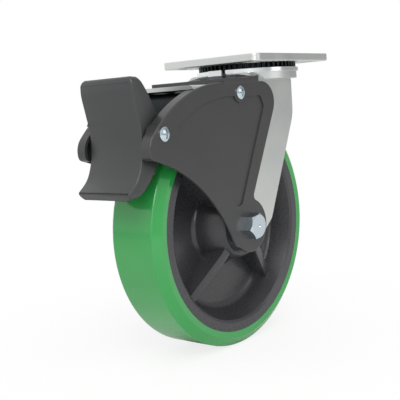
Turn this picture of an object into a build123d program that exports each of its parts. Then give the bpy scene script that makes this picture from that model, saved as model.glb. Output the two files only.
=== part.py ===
"""Swivel castor with a moulded brake pedal that locks the wheel and the swivel together.

Frame: the origin is the middle of the plate's top face, on the swivel axis. +Z is up, +X is
the direction of travel, so the wheel trails towards -X, and Y runs along the wheel's axle.
All sizes are millimetres.
"""

import os
from math import cos, degrees, radians, sin

from build123d import *

os.makedirs("parts", exist_ok=True)

# ---------------------------------------------------------------- driving dimensions
# overall
overall_height = 241.3
wheel_diameter = 203.2
wheel_lead = 60.0

# fits
running_fit = 0.05  # radial clearance of a turning shaft
bolt_fit = 0.15  # radial clearance of a bolt in its hole
seat_fit = 0.02  # radial clearance of a pressed or clamped piece
body_gap = 0.35  # least air between pieces that move past each other

# mounting plate
plate_length = 114.3
plate_width = 101.6
plate_thickness = 6.35
plate_corner_r = 6.0
plate_edge_r = 0.8
slot_spacing_x = 84.1
slot_spacing_y = 71.4
slot_width = 10.3
slot_length = 17.0

# swivel bearing
kingpin_r = 7.94
kingpin_head_r = 14.0
kingpin_head_depth = 4.5
kingpin_end_drop = 39.0
kingpin_nut_af = 24.0
kingpin_nut_height = 9.0
ball_r = 3.97
ball_circle_r = 26.5
ball_count = 18
lower_ball_r = 3.175
lower_ball_circle_r = 16.0
lower_ball_count = 12
upper_race_r = 33.5
upper_race_height = 3.65
lower_race_r = 23.0
lower_race_height = 4.5

# swivel lock
lock_ring_tip_r = 43.0
lock_ring_root_r = 40.0
lock_ring_height = 4.15
lock_tooth_count = 56
lock_tooth_root_share = 0.60  # tooth width at the root as a share of the pitch
lock_tooth_tip_share = 0.36
dog_tooth_count = 3
dog_play = 0.45
dog_engagement = 2.4
dog_tooth_depth = 1.1  # how far the dog's teeth reach in past the ring's tips
dog_swing_room = 1.8  # the dog rises on an arc, so its rim stands off the ring
dog_rim_width = 4.0
dog_width = 14.0

# fork
crown_top_drop = 14.0
crown_thickness = 6.0
crown_r = 43.5
dust_ring_r = 45.0
dust_ring_wall = 4.0
fork_inside_width = 62.0
leg_thickness = 5.0
fork_bend_r = 9.0
leg_front_x = 15.0
leg_rear_x = -42.0
leg_knee_z = -52.0
leg_knee_r = 30.0
leg_heel_x = -26.3
leg_heel_z = -138.5
leg_heel_r = 6.0
leg_end_r = 20.0
leg_waist_z = -52.0

# wheel
tread_width = 50.8
tread_flat_width = 40.6
tread_bevel_r = 94.4
core_r = 89.25
core_width = 49.6
rim_inner_r = 79.8
rim_lip_width = 46.8
dish_foot_r = 71.0
web_thickness = 7.0
hub_foot_r = 34.0
hub_r = 26.0
hub_length = 60.4
hub_bore_r = 15.5
rib_count = 4
rib_thickness = 8.0
rib_end_height = 13.0

# axle and its bearing
axle_r = 6.35
bolt_af = 19.05
bolt_head_height = 7.9
axle_nut_height = 11.0
washer_r = 13.5
washer_thickness = 2.4
sleeve_r = 9.525
roller_r = 2.3
roller_count = 14
roller_length = 50.0
hub_race_length = 56.0

# side covers
cover_wall = 2.5
cover_skirt_depth = 6.5
cover_edge_r = 1.4
ridge_z = -22.0
crest_x = -88.5
crest_r = 111.5
nose_angle = 137.5
nose_r = 15.0
belly_x = -207.8
belly_z = -206.9
belly_r = 136.6
cover_corner_r = 17.0
cover_corner_x = -33.0
cover_edge_angle = 62.6  # the lean of the straight front edge
cover_edge_length = 84.0
cover_lobe_r = 22.3
lobe_entry_r = 4.0
cover_panel_depth = 1.2
cover_panel_corner_r = 4.5
nose_boss_r = 8.0
screw_pad_r = 8.0
front_screw_x = -64.8
front_screw_z = -30.6
screw_r = 2.5
screw_head_r = 5.4
screw_head_height = 3.0
screw_length = 11.0
weld_nut_r = 4.4
weld_nut_height = 5.0

# bridge plate and its moulded roof
bridge_rear_x = -120.0
bridge_front_x = -64.0
bridge_top_drop = 23.0
bridge_web = 3.2
bridge_flange = 3.0
bridge_depth = 20.0
bridge_bend_r = 4.0
roof_rear_x = -85.0
roof_front_x = -42.4
roof_thickness = 4.0
roof_rebate = 1.0

# brake lever, shoe and their travel
lever_pivot_x = -90.0
lever_pivot_z = -36.2
lever_pin_r = 4.0
lever_travel = 3.5
lever_thickness = 3.5
lever_air = 1.9  # between the lever's arm and the bridge plate
lever_tail_width = 44.0
lever_ear_r = 7.5
lever_ear_thickness = 3.0
lever_ear_gap = 3.2
lever_nose_width = 14.0
shoe_width = 40.0
shoe_thickness = 5.5
shoe_start_angle = 127.0
shoe_end_angle = 148.0
shoe_rivet_r = 3.0

# pedal
pedal_pivot_x = -158.9
pedal_pivot_z = -57.3
pedal_pin_r = 5.0
pedal_width = 54.0
pedal_wall = 3.2
pedal_corner_r = 5.5
pedal_hub_r = 9.0
pedal_travel = 16.0
cam_angle = 147.5  # about the axle, where the cam bears on the lever's tail
cam_tip_r = 3.5
cam_width = 16.0

# ---------------------------------------------------------------- derived places
wheel_r = wheel_diameter / 2
axle_x = -wheel_lead
axle_z = -(overall_height - wheel_r)
crown_under_z = -(crown_top_drop + crown_thickness)
lock_ring_under_z = -(plate_thickness + lock_ring_height)
leg_inner_y = fork_inside_width / 2
leg_outer_y = leg_inner_y + leg_thickness
cover_outer_y = leg_outer_y + cover_wall
ball_z = -crown_top_drop + ball_r / 2
lower_ball_z = crown_under_z - lower_ball_r / 2
bridge_under_z = -(bridge_top_drop + bridge_web)
lever_top_z = bridge_under_z - lever_air
lever_mid_z = lever_top_z - lever_thickness / 2
lever_ear_outer_y = leg_outer_y - bridge_flange - lever_ear_gap
lock_pitch = 360 / lock_tooth_count

axle_point = Vector(axle_x, 0, axle_z)
wheel_axis = Axis(axle_point, (0, 1, 0))
wheel_section = Plane(origin=axle_point, x_dir=(0, 1, 0), z_dir=(1, 0, 0))
lever_pivot = Vector(lever_pivot_x, 0, lever_pivot_z)
pedal_pivot = Vector(pedal_pivot_x, 0, pedal_pivot_z)


def side_plane(y, x=0.0, z=0.0):
    """A plane square to the axle at y: its own x is X, its own y is Z, and it faces -Y."""
    return Plane(origin=(x, y, z), x_dir=(1, 0, 0), z_dir=(0, -1, 0))


def swung(pivot, degrees, place):
    """A location turned by degrees about the Y axis through a pivot."""
    return Location(pivot) * Location((0, 0, 0), (0, degrees, 0)) * Location(pivot * -1) * place


def released(plane):
    """A plane fixed to the brake lever, swung from the applied to the released position."""
    return Plane(swung(lever_pivot, lever_travel, plane.location))


def radial_plane(angle):
    """The plane through the axle whose own x runs outwards at this angle in the XZ plane."""
    c, s = cos(radians(angle)), sin(radians(angle))
    return Plane(origin=axle_point, x_dir=(c, 0, s), z_dir=(-s, 0, c))


def save(builder, name):
    """Label one finished piece and write it to its own STEP file."""
    builder.part.label = name
    export_step(builder.part, f"parts/{name}.step")


# ================================================================ body: mounting plate
with BuildPart() as top_plate:
    with BuildSketch(Plane.XY.offset(-plate_thickness)):
        RectangleRounded(plate_length, plate_width, plate_corner_r)
        with GridLocations(slot_spacing_x, slot_spacing_y, 2, 2):
            SlotOverall(slot_length, slot_width, mode=Mode.SUBTRACT)
    extrude(amount=plate_thickness)
    fillet(top_plate.faces().sort_by(Axis.Z)[0].outer_wire().edges(), plate_edge_r)
    fillet(top_plate.faces().sort_by(Axis.Z)[-1].outer_wire().edges(), plate_edge_r)
    with BuildSketch(Plane.XZ):
        with BuildLine():
            Polyline(
                (0, 0),
                (kingpin_head_r + seat_fit, 0),
                (kingpin_r + seat_fit, -kingpin_head_depth),
                (kingpin_r + seat_fit, -plate_thickness),
                (0, -plate_thickness),
                close=True,
            )
        make_face()
    revolve(axis=Axis.Z, mode=Mode.SUBTRACT)
save(top_plate, "top_plate")

with BuildPart() as kingpin:
    with BuildSketch(Plane.XZ):
        with BuildLine():
            Polyline(
                (0, 0),
                (kingpin_head_r, 0),
                (kingpin_r, -kingpin_head_depth),
                (kingpin_r, -kingpin_end_drop + 1),
                (kingpin_r - 1, -kingpin_end_drop),
                (0, -kingpin_end_drop),
                close=True,
            )
        make_face()
    revolve(axis=Axis.Z)
save(kingpin, "kingpin")

lower_race_top_z = lower_ball_z - lower_ball_r / 2
lower_race_under_z = lower_race_top_z - lower_race_height
with BuildPart() as lower_race:
    with BuildSketch(Plane.XY.offset(lower_race_under_z)):
        Circle(lower_race_r)
        Circle(kingpin_r + seat_fit, mode=Mode.SUBTRACT)
    extrude(amount=lower_race_height)
    with BuildSketch(Plane.XZ):
        with Locations((lower_ball_circle_r, lower_ball_z)):
            Circle(lower_ball_r + body_gap)
    revolve(axis=Axis.Z, mode=Mode.SUBTRACT)
    chamfer(lower_race.faces().sort_by(Axis.Z)[0].outer_wire().edges(), 1)
save(lower_race, "lower_race")

with BuildPart() as kingpin_nut:
    with BuildSketch(Plane.XY.offset(lower_race_under_z - kingpin_nut_height)):
        RegularPolygon(kingpin_nut_af / 2, 6, major_radius=False)
        Circle(kingpin_r + seat_fit, mode=Mode.SUBTRACT)
    extrude(amount=kingpin_nut_height)
    with BuildSketch(Plane.XZ):
        with BuildLine():
            nut_corner_r = kingpin_nut_af / 2 / cos(radians(30))
            Polyline(
                (nut_corner_r + 1, lower_race_under_z - kingpin_nut_height - 1),
                (nut_corner_r + 1, lower_race_under_z - kingpin_nut_height + 2.5),
                (kingpin_nut_af / 2 - 1, lower_race_under_z - kingpin_nut_height - 1),
                close=True,
            )
        make_face()
    revolve(axis=Axis.Z, mode=Mode.SUBTRACT)
save(kingpin_nut, "kingpin_nut")

with BuildPart() as upper_race:
    with BuildSketch(Plane.XY.offset(-plate_thickness - upper_race_height)):
        Circle(upper_race_r)
        Circle(kingpin_r + 6, mode=Mode.SUBTRACT)
    extrude(amount=upper_race_height)
    with BuildSketch(Plane.XZ):
        with Locations((ball_circle_r, ball_z)):
            Circle(ball_r + body_gap)
    revolve(axis=Axis.Z, mode=Mode.SUBTRACT)
save(upper_race, "upper_race")

root_half = lock_pitch * lock_tooth_root_share / 2
tip_half = lock_pitch * lock_tooth_tip_share / 2


def polar(radius, angle):
    """A point of the XY plane given by radius and angle."""
    return (radius * cos(radians(angle)), radius * sin(radians(angle)))


with BuildPart() as swivel_lock_ring:
    with BuildSketch(Plane.XY.offset(lock_ring_under_z)):
        Circle(lock_ring_root_r)
        with PolarLocations(0, lock_tooth_count, start_angle=lock_pitch / 2):
            Polygon(
                polar(lock_ring_root_r - 0.5, -root_half),
                polar(lock_ring_tip_r, -tip_half),
                polar(lock_ring_tip_r, tip_half),
                polar(lock_ring_root_r - 0.5, root_half),
                align=None,
            )
        Circle(upper_race_r + seat_fit, mode=Mode.SUBTRACT)
    extrude(amount=lock_ring_height)
save(swivel_lock_ring, "swivel_lock_ring")

# ================================================================ body: fork
dog_rim_r = lock_ring_tip_r + dog_swing_room + dog_rim_width
lock_opening_r = dog_rim_r + 2.5
lock_opening_depth = dog_rim_width + dog_swing_room + dog_tooth_depth + 7.5
lock_opening_width = dog_width + 4

with BuildPart() as fork:
    # a bent plate: the crown on top and a leg down each side
    with BuildSketch(Plane.YZ.offset(axle_x - leg_end_r)) as fork_section:
        with Locations((0, -crown_top_drop)):
            Rectangle(2 * leg_outer_y, overall_height, align=(Align.CENTER, Align.MAX))
        fillet(fork_section.vertices().group_by(Axis.Y)[-1], fork_bend_r)
        with Locations((0, crown_under_z)):
            Rectangle(
                fork_inside_width,
                overall_height,
                align=(Align.CENTER, Align.MAX),
                mode=Mode.SUBTRACT,
            )
    extrude(amount=leg_front_x - axle_x + leg_end_r)
    # the legs' outline seen along the axle
    with BuildSketch(side_plane(0)) as leg_outline:
        with BuildLine():
            Polyline(
                (leg_rear_x, -crown_top_drop),
                (leg_front_x, -crown_top_drop),
                (leg_front_x, leg_knee_z),
                (leg_heel_x, leg_heel_z),
                (axle_x + leg_end_r * cos(radians(60)), axle_z - leg_end_r * sin(radians(60))),
                (axle_x, axle_z),
                (axle_x - leg_end_r * cos(radians(15)), axle_z + leg_end_r * sin(radians(15))),
                (leg_rear_x, leg_waist_z),
                close=True,
            )
        make_face()
        fillet(leg_outline.vertices().sort_by_distance((leg_front_x, leg_knee_z))[0], leg_knee_r)
        fillet(leg_outline.vertices().sort_by_distance((leg_heel_x, leg_heel_z))[0], leg_heel_r)
        with Locations((axle_x, axle_z)):
            Circle(leg_end_r)
    extrude(amount=leg_outer_y, both=True, mode=Mode.INTERSECT)
    # the round crown with its two ball tracks, the kingpin's bore and the lock's opening
    with BuildSketch(Plane.XY.offset(crown_under_z)):
        Circle(crown_r)
    extrude(amount=crown_thickness)
    with BuildSketch(Plane.XZ):
        with Locations((ball_circle_r, ball_z)):
            Circle(ball_r + running_fit)
        with Locations((lower_ball_circle_r, lower_ball_z)):
            Circle(lower_ball_r + running_fit)
    revolve(axis=Axis.Z, mode=Mode.SUBTRACT)
    with BuildSketch(Plane.XY.offset(crown_under_z)):
        Circle(kingpin_r + running_fit)
        with Locations((-lock_opening_r, 0)):
            Rectangle(lock_opening_depth, lock_opening_width, align=(Align.MIN, Align.CENTER))
    extrude(amount=crown_thickness, mode=Mode.SUBTRACT)
    with BuildSketch(side_plane(leg_outer_y, axle_x, axle_z)):
        Circle(axle_r + bolt_fit)
    extrude(amount=2 * leg_outer_y, mode=Mode.SUBTRACT)
save(fork, "fork")

with BuildPart() as dust_ring:
    with BuildSketch(Plane.XY.offset(-crown_top_drop)):
        Circle(dust_ring_r)
        Circle(dust_ring_r - dust_ring_wall, mode=Mode.SUBTRACT)
        with Locations((-lock_opening_r, 0)):
            Rectangle(
                lock_opening_depth,
                lock_opening_width,
                align=(Align.MIN, Align.CENTER),
                mode=Mode.SUBTRACT,
            )
    extrude(amount=crown_top_drop + lock_ring_under_z - body_gap)
save(dust_ring, "dust_ring")

with BuildPart() as upper_balls:
    with Locations((0, 0, ball_z)):
        with PolarLocations(ball_circle_r, ball_count):
            Sphere(ball_r)
save(upper_balls, "upper_balls")

with BuildPart() as lower_balls:
    with Locations((0, 0, lower_ball_z)):
        with PolarLocations(lower_ball_circle_r, lower_ball_count):
            Sphere(lower_ball_r)
save(lower_balls, "lower_balls")

# ---------------------------------------------------------------- bridge plate over the wheel
with BuildPart() as bridge_plate:
    with BuildSketch(Plane.YZ.offset(bridge_rear_x)) as bridge_section:
        with Locations((0, -bridge_top_drop)):
            Rectangle(2 * leg_outer_y, bridge_depth, align=(Align.CENTER, Align.MAX))
        fillet(bridge_section.vertices().group_by(Axis.Y)[-1], bridge_bend_r)
        with Locations((0, bridge_under_z)):
            Rectangle(
                2 * (leg_outer_y - bridge_flange),
                bridge_depth,
                align=(Align.CENTER, Align.MAX),
                mode=Mode.SUBTRACT,
            )
    extrude(amount=leg_rear_x - bridge_rear_x)
    # the web stops short of the lock's opening, and the flanges taper to the rear
    with BuildSketch(Plane.XY.offset(-bridge_top_drop - bridge_depth)):
        with Locations((bridge_front_x, 0)):
            Rectangle(
                leg_rear_x - bridge_front_x,
                2 * (leg_outer_y - bridge_flange),
                align=(Align.MIN, Align.CENTER),
            )
    extrude(amount=bridge_depth, mode=Mode.SUBTRACT)
    with BuildSketch(side_plane(leg_outer_y)):
        with BuildLine():
            Polyline(
                (bridge_rear_x - 1, bridge_under_z),
                (bridge_rear_x - 1, bridge_under_z - bridge_depth),
                (lever_pivot_x - lever_ear_r - 3, bridge_under_z - bridge_depth),
                (lever_pivot_x - lever_ear_r - 3, lever_pivot_z - 3),
                (bridge_rear_x + 6, bridge_under_z),
                close=True,
            )
        make_face()
        with Locations((lever_pivot_x, lever_pivot_z)):
            Circle(lever_pin_r + seat_fit)
        with Locations((front_screw_x, front_screw_z)):
            Circle(screw_r + bolt_fit)
    extrude(amount=2 * leg_outer_y, mode=Mode.SUBTRACT)
save(bridge_plate, "bridge_plate")

with BuildPart() as roof_cover:
    with BuildSketch(Plane.XY.offset(-bridge_top_drop)):
        with Locations((roof_rear_x, 0)):
            Rectangle(
                roof_front_x - roof_rear_x,
                2 * leg_outer_y - 0.2,
                align=(Align.MIN, Align.CENTER),
            )
    extrude(amount=roof_rebate)
    with BuildSketch(Plane.XY.offset(-bridge_top_drop + roof_rebate)):
        with Locations((roof_rear_x, 0)):
            Rectangle(
                roof_front_x - roof_rear_x,
                2 * cover_outer_y,
                align=(Align.MIN, Align.CENTER),
            )
    extrude(amount=roof_thickness - roof_rebate)
    with BuildSketch(Plane.XY.offset(-bridge_top_drop)):
        Circle(dust_ring_r + 0.6)
        with Locations((-lock_opening_r, 0)):
            Rectangle(
                lock_opening_depth,
                lock_opening_width,
                align=(Align.MIN, Align.CENTER),
            )
    extrude(amount=roof_thickness, mode=Mode.SUBTRACT)
    fillet(roof_cover.faces().sort_by(Axis.Z)[-1].edges().sort_by(Axis.X)[0], 1.5)
save(roof_cover, "roof_cover")

# ---------------------------------------------------------------- side covers
# The outline in the XZ plane: a round nose over the pedal's pin, a long crest tangent to a
# level ridge, a round front corner, a straight edge leaning with the fork leg, the lobe over
# the axle bolt, and a hollow belly that follows the wheel back to the nose.
crest_centre = Vector(crest_x, ridge_z - crest_r)
nose_centre = crest_centre + Vector(crest_r - nose_r, 0).rotate(Axis.Z, nose_angle)
corner_centre = Vector(cover_corner_x, ridge_z - cover_corner_r)
edge_way = Vector(-1, 0).rotate(Axis.Z, cover_edge_angle)

with BuildSketch() as cover_outline:
    with BuildLine():
        crest = CenterArc(crest_centre, crest_r, 90, nose_angle - 90)
        nose = CenterArc(nose_centre, nose_r, nose_angle, 100)
        under = Line(nose @ 1, (axle_x - 30, axle_z - 10))
        sole = Line(under @ 1, (axle_x - 4, axle_z - cover_lobe_r + 0.8))
        into_lobe = Line(sole @ 1, (axle_x, axle_z))
        Line(crest @ 0, (cover_corner_x, ridge_z))
        corner = CenterArc(corner_centre, cover_corner_r, 90, cover_edge_angle - 180)
        edge = Line(corner @ 1, corner @ 1 + edge_way * cover_edge_length)
        Line(edge @ 1, (axle_x, axle_z))
    make_face()
    with Locations((axle_x, axle_z)):
        Circle(cover_lobe_r)
    with Locations((belly_x, belly_z)):
        Circle(belly_r, mode=Mode.SUBTRACT)
    for place, radius in (
        ((nose_centre.X - 10, nose_centre.Y - 11), 4.0),
        ((axle_x - 21.5, axle_z - 14), 4.0),
        ((axle_x - 14.5, axle_z - cover_lobe_r + 5), 12.0),
        ((axle_x + 6, axle_z + cover_lobe_r), lobe_entry_r),
    ):
        fillet(cover_outline.vertices().sort_by_distance(place)[0], radius)

with BuildSketch() as cover_panel:
    with BuildLine():
        Polyline((-68, -33.5), (-36.5, -33.5), (-32.4, -43), (-70.5, -121), (-78.3, -121.5))
        ThreePointArc((-78.3, -121.5), (-108.5, -88.5), (-148.5, -67))
        Line((-148.5, -67), (-143, -53))
        ThreePointArc((-143, -53), (-107.4, -36.4), (-68, -33.5))
    make_face()
    fillet(cover_panel.vertices().filter_by(lambda v: v.X > -60 or v.Y < -110 or v.X < -120), cover_panel_corner_r)
    with Locations((front_screw_x, front_screw_z)):
        Circle(screw_pad_r, mode=Mode.SUBTRACT)

with BuildPart() as right_cover:
    with BuildSketch(side_plane(-leg_outer_y + cover_skirt_depth)):
        add(cover_outline.sketch)
    extrude(amount=cover_skirt_depth + cover_wall)
    # hollow inside, with a skirt left standing along the crest and round the nose
    with BuildSketch(side_plane(-leg_outer_y + cover_skirt_depth)):
        with Locations(crest_centre):
            Circle(crest_r - cover_wall)
        with Locations(Location(nose_centre, (0, 0, nose_angle - 90))):
            Rectangle(400, 400, align=(Align.MAX, Align.CENTER), mode=Mode.SUBTRACT)
        with Locations(nose_centre):
            Circle(nose_r - cover_wall)
            Rectangle(400, 400, align=(Align.MIN, Align.MAX))
        with Locations((bridge_rear_x - 1, nose_centre.Y)):
            Rectangle(400, 400, align=(Align.MIN, Align.CENTER))
    extrude(amount=cover_skirt_depth, mode=Mode.SUBTRACT)
    fillet(right_cover.faces().sort_by(Axis.Y)[0].outer_wire().edges(), cover_edge_r)
    with BuildSketch(side_plane(-pedal_width / 2 - 0.8, pedal_pivot_x, pedal_pivot_z)):
        Circle(nose_boss_r)
        Circle(pedal_pin_r + seat_fit, mode=Mode.SUBTRACT)
    extrude(amount=leg_outer_y - pedal_width / 2 - 0.8)
    with BuildSketch(side_plane(-cover_outer_y + cover_panel_depth)):
        add(cover_panel.sketch)
    extrude(amount=cover_panel_depth, mode=Mode.SUBTRACT)
    with BuildSketch(side_plane(-leg_outer_y)):
        with Locations((pedal_pivot_x, pedal_pivot_z), (front_screw_x, front_screw_z)):
            Circle(screw_r + bolt_fit)
        with Locations((axle_x, axle_z)):
            Circle(axle_r + bolt_fit)
    extrude(amount=cover_wall, mode=Mode.SUBTRACT)
save(right_cover, "right_cover")

with BuildPart() as left_cover:
    add(mirror(right_cover.part, about=Plane.XZ, mode=Mode.PRIVATE))
save(left_cover, "left_cover")

# ---------------------------------------------------------------- pins, screws and nuts
with BuildPart() as pedal_pin:
    with BuildSketch(side_plane(leg_outer_y, pedal_pivot_x, pedal_pivot_z)):
        Circle(pedal_pin_r)
    extrude(amount=2 * leg_outer_y)
    with BuildSketch(side_plane(leg_outer_y, pedal_pivot_x, pedal_pivot_z)):
        Circle(screw_r + seat_fit)
    extrude(amount=screw_length, mode=Mode.SUBTRACT)
    with BuildSketch(side_plane(screw_length - leg_outer_y, pedal_pivot_x, pedal_pivot_z)):
        Circle(screw_r + seat_fit)
    extrude(amount=screw_length, mode=Mode.SUBTRACT)
save(pedal_pin, "pedal_pin")

with BuildPart() as lever_pin:
    with BuildSketch(side_plane(leg_outer_y, lever_pivot_x, lever_pivot_z)):
        Circle(lever_pin_r)
    extrude(amount=2 * leg_outer_y)
save(lever_pin, "lever_pin")

with BuildPart() as cover_screw:
    with BuildSketch(Plane.YZ):
        with BuildLine():
            Polyline(
                (screw_length - 0.4 - cover_outer_y, 0),
                (screw_length - 0.4 - cover_outer_y, screw_r),
                (-cover_outer_y, screw_r),
                (-cover_outer_y, screw_head_r),
                (-cover_outer_y - 0.35 * screw_head_height, screw_head_r),
            )
            RadiusArc(
                (-cover_outer_y - 0.35 * screw_head_height, screw_head_r),
                (-cover_outer_y - screw_head_height, 0),
                -1.55 * screw_head_r,
            )
            Line((-cover_outer_y - screw_head_height, 0), (screw_length - 0.4 - cover_outer_y, 0))
        make_face()
    revolve(axis=Axis.Y)
    # the cross recess for a screwdriver
    with BuildSketch(side_plane(-cover_outer_y - 1)):
        Rectangle(1.3 * screw_head_r, 1.3)
        Rectangle(1.3, 1.3 * screw_head_r)
    extrude(amount=screw_head_height, mode=Mode.SUBTRACT)

with BuildPart() as cover_screws:
    with Locations((pedal_pivot_x, 0, pedal_pivot_z), (front_screw_x, 0, front_screw_z)):
        add(cover_screw.part)
    mirror(about=Plane.XZ)
save(cover_screws, "cover_screws")

with BuildPart() as weld_nuts:
    with BuildSketch(side_plane(weld_nut_height - leg_outer_y + bridge_flange, front_screw_x, front_screw_z)):
        Circle(weld_nut_r)
        Circle(screw_r + seat_fit, mode=Mode.SUBTRACT)
    extrude(amount=weld_nut_height)
    mirror(about=Plane.XZ)
save(weld_nuts, "weld_nuts")

# ---------------------------------------------------------------- axle
with BuildPart() as axle_bolt:
    bolt_end_y = cover_outer_y + washer_thickness + axle_nut_height + 2.5
    with BuildSketch(side_plane(-cover_outer_y, axle_x, axle_z)):
        RegularPolygon(bolt_af / 2, 6, major_radius=False, rotation=12)
    extrude(amount=bolt_head_height)
    with BuildSketch(side_plane(bolt_end_y, axle_x, axle_z)):
        Circle(axle_r)
    extrude(amount=bolt_end_y + cover_outer_y)
    # the chamfered corners of the head and the centre mark left by turning
    with BuildSketch(wheel_section):
        head_y = -cover_outer_y - bolt_head_height
        with BuildLine():
            Polyline(
                (head_y - 1, bolt_af / 2 - 1.6),
                (head_y - 1, bolt_af),
                (head_y + 1.5, bolt_af),
                (head_y + 1.5, bolt_af / 2 / cos(radians(30)) + 0.05),
                close=True,
            )
        make_face()
    revolve(axis=wheel_axis, mode=Mode.SUBTRACT)
    with BuildSketch(side_plane(head_y + 0.6, axle_x, axle_z)):
        Circle(1.8)
    extrude(amount=1, mode=Mode.SUBTRACT)
    chamfer(axle_bolt.faces().sort_by(Axis.Y)[-1].edges(), 1)
save(axle_bolt, "axle_bolt")

with BuildPart() as axle_washer:
    with BuildSketch(side_plane(cover_outer_y + washer_thickness, axle_x, axle_z)):
        Circle(washer_r)
        Circle(axle_r + bolt_fit, mode=Mode.SUBTRACT)
    extrude(amount=washer_thickness)
save(axle_washer, "axle_washer")

with BuildPart() as axle_nut:
    nut_base_y = cover_outer_y + washer_thickness
    with BuildSketch(side_plane(nut_base_y + 0.7 * axle_nut_height, axle_x, axle_z)):
        RegularPolygon(bolt_af / 2, 6, major_radius=False, rotation=12)
    extrude(amount=0.7 * axle_nut_height)
    with BuildSketch(side_plane(nut_base_y + axle_nut_height, axle_x, axle_z)):
        Circle(bolt_af / 2 - 0.6)
    extrude(amount=0.3 * axle_nut_height)
    fillet(axle_nut.faces().sort_by(Axis.Y)[-1].edges(), 1.2)
    with BuildSketch(side_plane(nut_base_y + axle_nut_height, axle_x, axle_z)):
        Circle(axle_r + seat_fit)
    extrude(amount=axle_nut_height, mode=Mode.SUBTRACT)
save(axle_nut, "axle_nut")

with BuildPart() as axle_sleeve:
    with BuildSketch(side_plane(leg_inner_y, axle_x, axle_z)):
        Circle(sleeve_r)
        Circle(axle_r + bolt_fit, mode=Mode.SUBTRACT)
    extrude(amount=fork_inside_width)
save(axle_sleeve, "axle_sleeve")

# ================================================================ body: wheel
with BuildPart() as tread:
    with BuildSketch(wheel_section) as tread_section:
        with BuildLine():
            Polyline(
                (core_width / 2, core_r),
                (tread_width / 2, tread_bevel_r),
                (tread_flat_width / 2, wheel_r),
                (-tread_flat_width / 2, wheel_r),
                (-tread_width / 2, tread_bevel_r),
                (-core_width / 2, core_r),
                close=True,
            )
        make_face()
        fillet(tread_section.vertices().group_by(Axis.Y)[-1], 1.5)
        fillet(tread_section.vertices().group_by(Axis.Y)[1], 0.8)
    revolve(axis=wheel_axis)
save(tread, "tread")

with BuildPart() as wheel_core:
    with BuildSketch(wheel_section) as core_section:
        with BuildLine():
            half = Polyline(
                (0, core_r),
                (core_width / 2, core_r),
                (core_width / 2, rim_inner_r + 2.2),
                (rim_lip_width / 2, rim_inner_r),
                (web_thickness / 2 + 3.5, dish_foot_r + 4),
                (web_thickness / 2, dish_foot_r),
                (web_thickness / 2, hub_foot_r + 3),
                (web_thickness / 2 + 3.5, hub_foot_r),
                (hub_length / 2 - 1.5, hub_r),
                (hub_length / 2, hub_r - 1.5),
                (hub_length / 2, hub_bore_r),
                (0, hub_bore_r),
            )
            mirror(half, about=Plane.YZ)
        make_face()
    revolve(axis=wheel_axis)
    for rib in range(rib_count):
        with BuildSketch(radial_plane(360 / rib_count * (rib + 0.5))):
            with BuildLine():
                rib_half = Polyline(
                    (hub_r - 4, 0),
                    (hub_r - 4, hub_length / 2 - 3),
                    (hub_foot_r, hub_length / 2 - 4.5),
                    (dish_foot_r + 7, rib_end_height),
                    (dish_foot_r + 7, 0),
                )
                mirror(rib_half, about=Plane.XZ)
            make_face()
        extrude(amount=rib_thickness / 2, both=True)
save(wheel_core, "wheel_core")

with BuildPart() as hub_race:
    with BuildSketch(side_plane(hub_race_length / 2, axle_x, axle_z)):
        Circle(hub_bore_r - seat_fit)
        Circle(sleeve_r + 2 * roller_r + 3 * running_fit, mode=Mode.SUBTRACT)
    extrude(amount=hub_race_length)
save(hub_race, "hub_race")

with BuildPart() as hub_rollers:
    with BuildSketch(side_plane(roller_length / 2, axle_x, axle_z)):
        with PolarLocations(sleeve_r + running_fit + roller_r, roller_count):
            Circle(roller_r)
    extrude(amount=roller_length)
save(hub_rollers, "hub_rollers")

with BuildPart() as hub_seals:
    with BuildSketch(side_plane(-hub_race_length / 2, axle_x, axle_z)):
        Circle(hub_bore_r - seat_fit)
        Circle(sleeve_r + body_gap, mode=Mode.SUBTRACT)
    extrude(amount=(hub_length - hub_race_length) / 2)
    mirror(about=Plane.XZ)
save(hub_seals, "hub_seals")

# ================================================================ body: brake lever
shoe_r = wheel_r + body_gap
tail_r = shoe_r + shoe_thickness + lever_thickness / 2
rest_axle = swung(lever_pivot, lever_travel, Location(axle_point)).position
lever_nose_x = -lock_ring_tip_r + dog_swing_room + dog_tooth_depth
tail_start = shoe_start_angle - 1.0
tail_end = shoe_end_angle + 1.0


def about_rest_axle(radius, angle):
    """A side-view point given about the axle's place as the released lever sees it."""
    return (
        rest_axle.X + radius * cos(radians(angle)),
        rest_axle.Z + radius * sin(radians(angle)),
    )


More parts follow.
